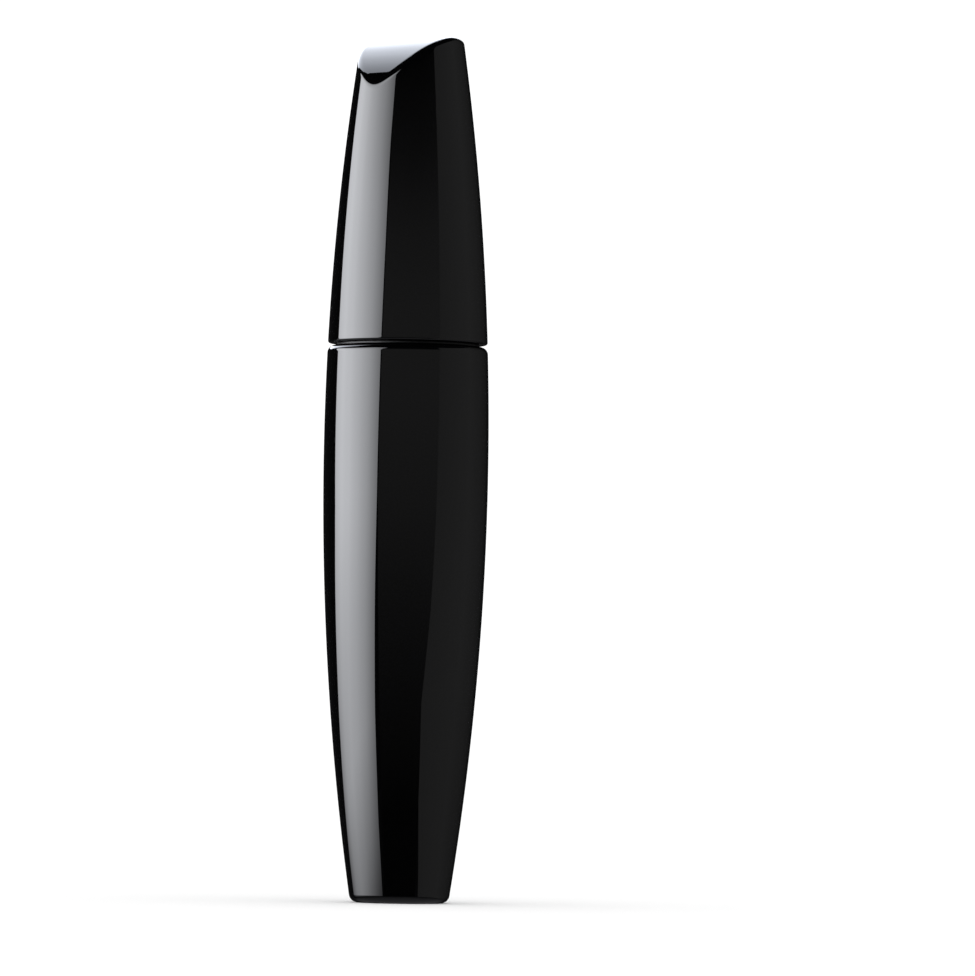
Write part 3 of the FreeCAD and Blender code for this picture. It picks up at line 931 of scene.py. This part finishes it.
def inner_cap(neck, material):
    """Threaded skirt with ribs and the stem's socket.

    The thread is taken off the bore's radius, and each rib adds its height to the skirt's radius
    where the angle is within half a rib's width of a rib's middle.
    """
    low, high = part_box("inner_cap")
    foot, top = low[2], high[2]
    cap_foot = cap_span()[0]
    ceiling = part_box("sealing_washer")[1][2]
    crown = ceiling + neck.crown_thickness
    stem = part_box("wand_stem")[1]
    socket = stem[0] + neck.socket_wall
    edge = 0.2 * MM
    thread_start = cap_foot + neck.thread_start + neck.thread_pitch / 2
    path = rounded([
        (0.0, stem[2], 0.0),
        (stem[0], stem[2], edge),
        (stem[0], ceiling, edge),
        (neck.thread_bore, ceiling, edge),
        (neck.thread_bore, foot, edge),
        (neck.skirt_radius, foot, edge),
        (neck.skirt_radius, crown, edge),
        (socket, crown, edge),
        (socket, top, edge),
        (0.0, top, 0.0),
    ], closed=False)
    path = fine_between(path, path[:, 0] > neck.thread_bore - ON_WALL, step=0.12 * MM)
    rib_reach = bpy.context.scene.tube_outline.cap_bore - neck.skirt_radius
    rib_foot = foot + neck.rib_width
    spacing = FULL_TURN / neck.rib_count

    def relief(around, radii, heights):
        on_bore = np.abs(radii - neck.thread_bore) < ON_WALL
        ridge = screw_ridge(neck, around, heights, thread_start)
        on_skirt = np.abs(radii - neck.skirt_radius) < ON_WALL
        off = np.abs((around + spacing / 2) % spacing - spacing / 2) * neck.skirt_radius
        rib = smooth_step((neck.rib_width / 2 + edge - off) / edge)
        rib = rib * smooth_step((heights - rib_foot) / edge)
        radii = radii - neck.thread_depth * ridge * on_bore + rib_reach * rib * on_skirt
        return radii, heights

    return mesh_object("inner_cap_threaded", turned(path, columns=240, closed=False, relief=relief),
                       "cap", "inner_cap", material)


# ---- wand pieces

def wand_stem(wand, material):
    """Round rod with a bullet-shaped lower end, bored for the wire."""
    low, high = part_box("wand_stem")
    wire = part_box("brush_wire")[1]
    radius = high[0]
    edge = 0.1 * MM
    path = rounded([
        (0.0, wire[2], 0.0),
        (wire[0], wire[2], edge),
        (wire[0], low[2], edge),
        (radius, low[2], wand.stem_tip_round),
        (radius, high[2], 3 * edge),
        (0.0, high[2], 0.0),
    ], closed=False, steps=12)
    path = refined(path, 4 * MM, closed=False)
    return mesh_object("wand_stem_rod", turned(path, columns=96, closed=False),
                       "cap", "wand_stem", material)


def brush_wire(wand, material):
    """Two strands twisted together.

    Strand k's middle is at (s cos a, s sin a, z) with a = 2 pi z / pitch + k pi and s the
    strand's radius.
    """
    low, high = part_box("brush_wire")
    steps, sides = 360, 12
    heights = np.linspace(low[2], high[2], steps)
    starts = np.array([0, math.pi])[:, None]
    around = FULL_TURN * (heights - low[2])[None] / wand.twist_pitch + starts
    reach = wand.strand_radius
    radius = 0.97 * reach
    lines = np.stack([reach * np.cos(around), reach * np.sin(around),
                      np.broadcast_to(heights, around.shape)], axis=-1)
    radii = np.full(around.shape, radius)
    return mesh_object("brush_wire_twist", tubes(lines, radii, sides),
                       "cap", "brush_wire", material)


def bristles(wand, material):
    """Fibres that stand out between the twisted strands.

    A fibre leaves the wire at the angle 2 pi z / pitch + pi / 2, half of them on the other side,
    with a normal spread. It reaches the brush's radius at its height, which grows in a straight
    line from the tip to the stem, leans a little along the wire and bends a little round it.
    """
    low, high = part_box("bristles")
    wire_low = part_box("brush_wire")[0][2]
    chance = np.random.default_rng(7)
    number = wand.fibre_count
    span = high[2] - low[2]
    share = (np.arange(number) + chance.random(number)) / number
    heights = low[2] + span * share
    around = FULL_TURN * (heights - wire_low) / wand.twist_pitch + math.pi / 2
    around += math.pi * (np.arange(number) % 2)
    around += chance.normal(0, wand.fibre_spread, number)
    full = wand.tip_radius + (high[0] - wand.tip_radius) * share
    shortfall, lean_spread, bend_spread, curl, taper = 0.022, 0.06, 0.05, 0.02, 0.45
    reach = full * (0.985 - np.abs(chance.normal(0, shortfall, number)))
    lean = chance.normal(0, lean_spread, number)
    bend = chance.normal(0, bend_spread, number)
    steps, sides = 5, 3
    along = np.linspace(0, 1, steps)[None]
    root = 0.6 * wand.strand_radius
    radii = root + (reach[:, None] - root) * along
    angles = around[:, None] + bend[:, None] * along ** 2
    rise = heights[:, None] + lean[:, None] * radii + curl * reach[:, None] * along ** 2
    rise = np.clip(rise, low[2], high[2] - 0.05 * MM)
    lines = np.stack([radii * np.cos(angles), radii * np.sin(angles), rise], axis=-1)
    thickness = wand.fibre_radius * (1 - taper * along) * np.ones((number, 1))
    piece = mesh_object("bristles_nylon", tubes(lines, thickness, sides),
                        "cap", "bristles", material)
    shade = np.clip(chance.normal(0.5, 0.28, number), 0, 1)
    ring_reach = np.repeat(np.broadcast_to(along, (number, steps)).ravel(), sides)
    ring_shade = np.repeat(shade, steps * sides)
    # reach runs from root to tip and drives the bristles' painted shade and painted sheen.
    write_attribute(piece, "reach", np.append(ring_reach, np.tile([0.0, 1.0], number)))
    write_attribute(piece, "shade", np.append(ring_shade, np.repeat(shade, 2)))
    return piece


def write_attribute(piece, name, values):
    """Store one number for each corner point of a piece's mesh."""
    layer = piece.data.attributes.new(name, "FLOAT", "POINT")
    layer.data.foreach_set("value", values.astype(np.float32))


# ---- studio

def stage_object(name, points, faces, material):
    """A mesh that belongs to the studio and not to the tube."""
    mesh = bpy.data.meshes.new(name)
    mesh.from_pydata(points, [], faces)
    mesh.update()
    thing = bpy.data.objects.new(name, mesh)
    bpy.context.collection.objects.link(thing)
    mesh.materials.append(material)
    return thing


def pale_floor(studio):
    """Plain pale floor, left out of the gloss so that the black stays deep."""
    half = studio.floor_size / 2
    corners = [(-half, -half, 0), (half, -half, 0), (half, half, 0), (-half, half, 0)]
    paint = Paint("pale_floor")
    floor = stage_object("floor", corners, [(0, 1, 2, 3)],
                         paint.finish(Base_Color=(0.95, 0.95, 0.95), Specular_IOR_Level=0.0))
    floor.visible_glossy = False
    return floor


def light_panel(studio, name, rows, glow, tint=(1, 1, 1)):
    """A curved light panel round the tube.

    Each row gives an elevation, the azimuths of the panel's two ends there, the share of its
    light, 1 if left out, and the part of it that the first end loses, 0 if left out. Azimuths
    are counted in degrees from the camera, to its right. glow is the light at even steps from
    the first end to the last. Rows and glow are joined by straight lines, and the loss fades as
    (1 - t)^2.
    """
    share_and_loss = (1.0, 0.0)
    lines = np.array([(*row, *share_and_loss[len(row) - 3:]) for row in rows])
    columns, steps = 49, 41
    across = np.linspace(0, 1, columns)[None, :]
    up = np.linspace(lines[0, 0], lines[-1, 0], steps)[:, None]
    first, last, share, loss = (np.interp(up, lines[:, 0], lines[:, i]) for i in (1, 2, 3, 4))
    light = share * np.interp(across, np.linspace(0, 1, len(glow)), glow)
    light = light * (1 - loss * (1 - across) ** 2)
    azimuth = np.radians(first + (last - first) * across) + studio.azimuth
    elevation = np.radians(up) * np.ones_like(across)
    reach = studio.panel_distance
    middle = (CAD_BOX[0][2] + CAD_BOX[1][2]) / 2
    points = np.stack([reach * np.sin(azimuth) * np.cos(elevation),
                       -reach * np.cos(azimuth) * np.cos(elevation),
                       middle + reach * np.sin(elevation)], axis=-1)
    corner = (np.arange(steps - 1)[:, None] * columns + np.arange(columns - 1)[None, :]).ravel()
    faces = np.stack([corner, corner + 1, corner + columns + 1, corner + columns], axis=-1)
    paint = Paint(f"{name}_light")
    level = paint.node("ShaderNodeAttribute", {"attribute_name": "light"}, {}, "Fac")
    scale = {"operation": "SCALE"}
    shining = paint.node("ShaderNodeVectorMath", scale, {0: tint, "Scale": level})
    paint.finish(Base_Color=(0, 0, 0), Emission_Color=shining, Emission_Strength=1.0,
                 Specular_IOR_Level=0.0)
    panel = stage_object(name, points.reshape(-1, 3).tolist(), faces.tolist(), paint.material)
    write_attribute(panel, "light", light.ravel())
    panel.visible_camera = False
    panel.visible_shadow = False
    panel.visible_diffuse = False
    return panel


def studio_world():
    """White all round for the camera and for soft light; for gloss dim, and dimmer the higher."""
    world = bpy.data.worlds.new("studio")
    bpy.context.scene.world = world
    world.use_nodes = True
    world.node_tree.nodes.clear()
    sky = NodeTree(world.node_tree)
    place = sky.node("ShaderNodeTexCoord", {}, {}, "Generated")
    rise = sky.node("ShaderNodeSeparateXYZ", {}, {"Vector": place}, "Z")
    rise = sky.node("ShaderNodeMapRange", {}, {"Value": rise, "From Min": -1})
    glow = [(0.0, 0.3), (0.18, 0.2), (0.3, 0.02), (0.48, 0.012), (0.55, 0.012), (0.68, 0.004)]
    stops = [(at, (light, light, 1.06 * light)) for at, light in glow]
    tint = sky.node("ShaderNodeValToRGB", {"stops": stops}, {"Fac": rise})
    dim = sky.node("ShaderNodeBackground", {}, {"Color": tint})
    white = sky.node("ShaderNodeBackground", {}, {"Color": (1, 1, 1, 1), "Strength": 1.12})
    for_gloss = sky.node("ShaderNodeLightPath", {}, {}, "Is Glossy Ray")
    blend = sky.node("ShaderNodeMixShader", {}, {0: for_gloss, 1: white, 2: dim})
    sky.node("ShaderNodeOutputWorld", {}, {"Surface": blend})


def studio_camera(studio):
    """Long-lens camera a little above the floor, aimed beside the tube and slightly rolled."""
    data = bpy.data.cameras.new("camera")
    camera = bpy.data.objects.new("camera", data)
    bpy.context.collection.objects.link(camera)
    back = Vector((math.sin(studio.azimuth), -math.cos(studio.azimuth), 0))
    right = Vector((math.cos(studio.azimuth), math.sin(studio.azimuth), 0))
    place = back * studio.distance + Vector((0, 0, studio.eye_height)) + right * studio.aim_aside
    aim = Vector((0, 0, studio.aim_height)) + right * studio.aim_aside
    turn = (aim - place).to_track_quat("-Z", "Y").to_matrix().to_4x4()
    camera.matrix_world = Matrix.Translation(place) @ turn @ Matrix.Rotation(studio.roll, 4, "Z")
    data.lens = data.sensor_width * studio.distance / studio.view_width
    data.clip_start = 0.01
    data.clip_end = 50
    bpy.context.scene.camera = camera
    bpy.context.scene.view_settings.view_transform = "Standard"
    return camera


def light_panels(studio):
    """A large strip at the left, dim cards in front and at the right, and a high panel behind."""
    cool = (0.97, 0.985, 1.03)
    light_panel(studio, "strip_softbox", [
        (-27, -130, -38, 0.0, 1.0), (-21.5, -130, -38, 0.12, 1.0),
        (-17, -128, -42, 0.5, 1.0), (-11, -128, -43.5, 0.88, 0.8),
        (-5.5, -120, -42, 0.9, 0.35), (0, -115, -39.6, 1.0), (7, -119, -38.5, 1.0),
        (14, -125.7, -36.7, 0.93), (19, -128, -36.5, 0.8), (22, -120, -34, 0.7),
        (26, -90, -32, 0.66), (31, -60, -30, 0.6),
    ], (5.0, 8.6, 9.9, 9.0, 6.9, 3.6), cool)
    light_panel(studio, "front_card", [
        (-24, -34, 40, 0.02), (-16.7, -34, 34, 0.02), (-11.2, -36, 31, 0.22),
        (-5.5, -37, 41, 0.45), (0, -38, 45, 0.79), (5.6, -37, 46, 1.0),
        (10.3, -36, 47, 1.0), (14.3, -35, 48, 0.8), (18.8, -34, 49, 0.35),
        (24, -33, 50, 0.04),
    ], (0.19, 0.19))
    light_panel(studio, "right_card", [
        (-28, 46, 154), (-21, 46, 154), (-16.7, 34, 154), (-11, 31, 154), (-5.5, 41, 154),
        (0, 45, 154), (14, 48, 154), (40, 50, 154),
    ], (0.235, 0.25, 0.25, 0.22, 0.13, 0.06, 0.015))
    light_panel(studio, "high_panel", [
        (13, -186, -150), (24, -186, -130), (34, -186, -112), (45, -186, -101),
        (64, -186, -99),
    ], (2.2, 4.2, 4.8, 4.4, 3.3), (0.93, 0.98, 1.09))


# ---- operators

class PieceOperator(bpy.types.Operator):
    """Shared part of the operators that build pieces."""

    bl_idname = "mascara.piece"
    bl_label = "Piece"
    bl_options = {"REGISTER", "UNDO"}

    def build(self, scene):
        """Build the piece or pieces; each operator has its own."""
        raise NotImplementedError

    def execute(self, context):
        """Build, and let any fault stop the script."""
        self.build(context.scene)
        return {"FINISHED"}


class MASCARA_OT_shells(PieceOperator):
    """Build the gloss shells of bottle and cap, and the collar between them"""

    bl_idname = "mascara.shells"
    bl_label = "Shells and collar"

    def build(self, scene):
        tint = scene.tube_colours.gloss_black
        gloss = polished_black(tint)
        bottle_shell(scene.tube_outline, gloss)
        cap_shell(scene.tube_outline, gloss)
        shoulder_collar(scene.tube_neck, moulded_black("collar_satin", tint, roughness=0.5))


class MASCARA_OT_base_label(PieceOperator):
    """Build the blank label in the base"""

    bl_idname = "mascara.base_label"
    bl_label = "Base label"

    def build(self, scene):
        base_label(label_film(scene.tube_colours.label))


class MASCARA_OT_screw_parts(PieceOperator):
    """Build the vial with its screw neck, and the inner cap that screws on it"""

    bl_idname = "mascara.screw_parts"
    bl_label = "Vial and inner cap"

    def build(self, scene):
        plastic = moulded_black("moulded_black", scene.tube_colours.satin_black, roughness=0.34)
        inner_vial(scene.tube_neck, plastic)
        inner_cap(scene.tube_neck, plastic)


class MASCARA_OT_seals(PieceOperator):
    """Build the wiper in the neck and the washer on it"""

    bl_idname = "mascara.seals"
    bl_label = "Wiper and washer"

    def build(self, scene):
        colours = scene.tube_colours
        wiper(scene.tube_neck, natural_plastic(colours.natural, colours.cream))
        sealing_washer(scene.tube_neck, washer_foam(colours.natural))


class MASCARA_OT_cream(PieceOperator):
    """Build the mascara in the vial"""

    bl_idname = "mascara.cream"
    bl_label = "Mascara"

    def build(self, scene):
        mascara_fill(scene.tube_neck, wet_cream(scene.tube_colours.cream))


class MASCARA_OT_stem(PieceOperator):
    """Build the wand's stem"""

    bl_idname = "mascara.stem"
    bl_label = "Wand stem"

    def build(self, scene):
        tint = scene.tube_colours.satin_black
        wand_stem(scene.tube_wand, moulded_black("stem_black", tint, roughness=0.3))


class MASCARA_OT_brush(PieceOperator):
    """Build the brush: its twisted wire and its bristles"""

    bl_idname = "mascara.brush"
    bl_label = "Brush"

    def build(self, scene):
        colours = scene.tube_colours
        brush_wire(scene.tube_wand, drawn_wire(colours.steel))
        bristles(scene.tube_wand, nylon_fibre(colours.fibre_root_painted_shade, colours.fibre_tip_painted_sheen))


class MASCARA_OT_stage(PieceOperator):
    """Build the floor, the lights and the camera"""

    bl_idname = "mascara.stage"
    bl_label = "Studio"

    def build(self, scene):
        pale_floor(scene.tube_studio)
        studio_world()
        light_panels(scene.tube_studio)
        studio_camera(scene.tube_studio)


OPERATORS = (
    MASCARA_OT_shells, MASCARA_OT_base_label, MASCARA_OT_screw_parts, MASCARA_OT_seals,
    MASCARA_OT_cream, MASCARA_OT_stem, MASCARA_OT_brush, MASCARA_OT_stage,
)


class MASCARA_PT_panel(bpy.types.Panel):
    """Sidebar panel that lists the builders"""

    bl_idname = "MASCARA_PT_panel"
    bl_label = "Mascara tube"
    bl_space_type = "VIEW_3D"
    bl_region_type = "UI"
    bl_category = "Mascara"

    def draw(self, context):
        """One button for each builder."""
        for operator in OPERATORS:
            self.layout.operator(operator.bl_idname)


def register():
    """Register the settings, the operators and the panel."""
    for name, group in GROUPS.items():
        bpy.utils.register_class(group)
        setattr(bpy.types.Scene, name, bpy.props.PointerProperty(type=group))
    for operator in OPERATORS:
        bpy.utils.register_class(operator)
    bpy.utils.register_class(MASCARA_PT_panel)


def unregister():
    """Undo register, in the opposite order."""
    bpy.utils.unregister_class(MASCARA_PT_panel)
    for operator in reversed(OPERATORS):
        bpy.utils.unregister_class(operator)
    for name, group in reversed(GROUPS.items()):
        delattr(bpy.types.Scene, name)
        bpy.utils.unregister_class(group)


def main():
    register()
    for operator in OPERATORS:
        section, name = operator.bl_idname.split(".")
        getattr(getattr(bpy.ops, section), name)()


if __name__ == "__main__":
    main()
